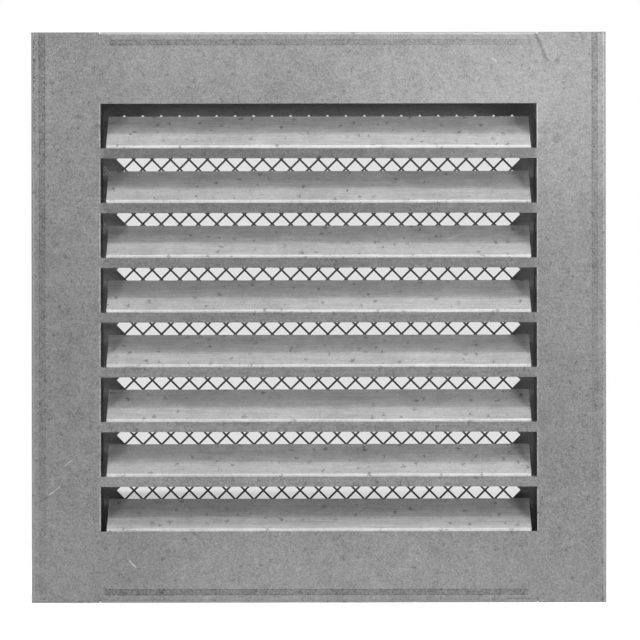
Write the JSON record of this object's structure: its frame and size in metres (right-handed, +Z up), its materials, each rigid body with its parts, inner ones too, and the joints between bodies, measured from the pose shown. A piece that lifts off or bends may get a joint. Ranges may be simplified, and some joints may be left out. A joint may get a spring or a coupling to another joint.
{
  "type": "ventilation grille",
  "caption": "Square louvred ventilation grille folded from galvanised sheet, with blades bent up from the face and a pierced screen behind them.",
  "frame": {"origin": "middle of the grille's width, height and depth", "axes": "+X to the right and +Z up as the grille is seen from the room, +Y backwards into the wall, so the face looks along -Y"},
  "size_m": [0.2624, 0.0272, 0.2606],
  "materials": {
    "galvanised_sheet": "satin galvanised, dull and finely mottled",
    "screen_sheet": "dull galvanised"
  },
  "bodies": {
    "root": {"louvred_case": "galvanised_sheet", "screen": "screen_sheet"}
  },
  "joints": []
}
